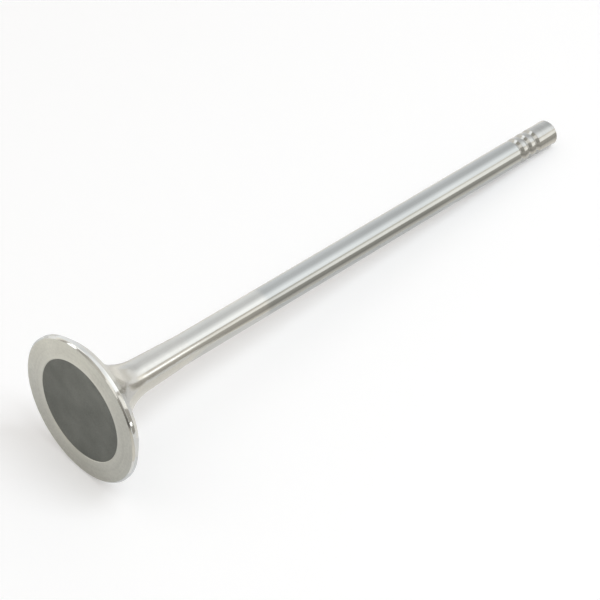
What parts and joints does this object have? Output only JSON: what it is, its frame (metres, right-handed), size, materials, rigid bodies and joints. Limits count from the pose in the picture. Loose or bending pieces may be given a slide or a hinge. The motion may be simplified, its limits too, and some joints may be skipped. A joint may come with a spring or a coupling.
{
  "type": "engine valve",
  "caption": "Slender poppet valve with a tulip head, a ground seat, a long round stem and keeper grooves near the tip.",
  "frame": {"origin": "centre of the combustion face, in the plane of its turned ring", "axes": "+Z along the stem, from the combustion face to the tip; X and Y are free, because the part is turned"},
  "size_m": [0.026, 0.026, 0.116],
  "materials": {
    "valve_steel": "ground and polished stem, satin turned head, dark grey dish in the combustion face"
  },
  "bodies": {
    "root": {"valve": "valve_steel"}
  },
  "joints": []
}
